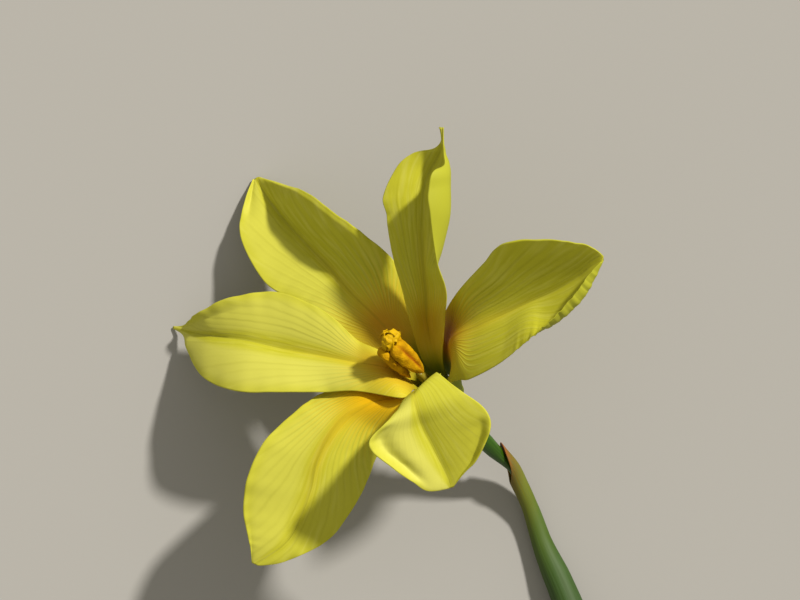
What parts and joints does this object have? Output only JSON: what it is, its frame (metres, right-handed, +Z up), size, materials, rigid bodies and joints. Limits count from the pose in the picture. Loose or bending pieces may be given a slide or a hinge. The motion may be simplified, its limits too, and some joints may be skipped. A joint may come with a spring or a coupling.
{
  "type": "moraea flower",
  "caption": "Open yellow moraea flower as picked, with free spreading tepals, an orange column of anthers and a green stem wrapped in sheathing bracts.",
  "frame": {"origin": "middle of the bounding box at its underside, on the surface the flower lies on", "axes": "+Z up from the surface, +Y from the cut end of the stem towards the flower's top tepal, +X to the right as the flower is seen from above"},
  "size_m": [0.0678, 0.1154, 0.0352],
  "materials": {
    "tepal": "matte",
    "anther": "powdery",
    "filament": "matte",
    "ovary": "satin",
    "bract": "matte"
  },
  "bodies": {
    "root": {"outer_tepal_upper_left": "tepal", "outer_tepal_right": "tepal", "outer_tepal_lower_left": "tepal", "inner_tepal_left": "tepal", "inner_tepal_top": "tepal", "inner_tepal_lower_right": "tepal", "filament_column": "filament", "anther_1": "anther", "anther_2": "anther", "anther_3": "anther", "style_branches": "anther", "ovary_and_pedicel": "ovary", "inner_spathe": "bract", "outer_spathe": "bract", "stem": "bract"}
  },
  "joints": []
}
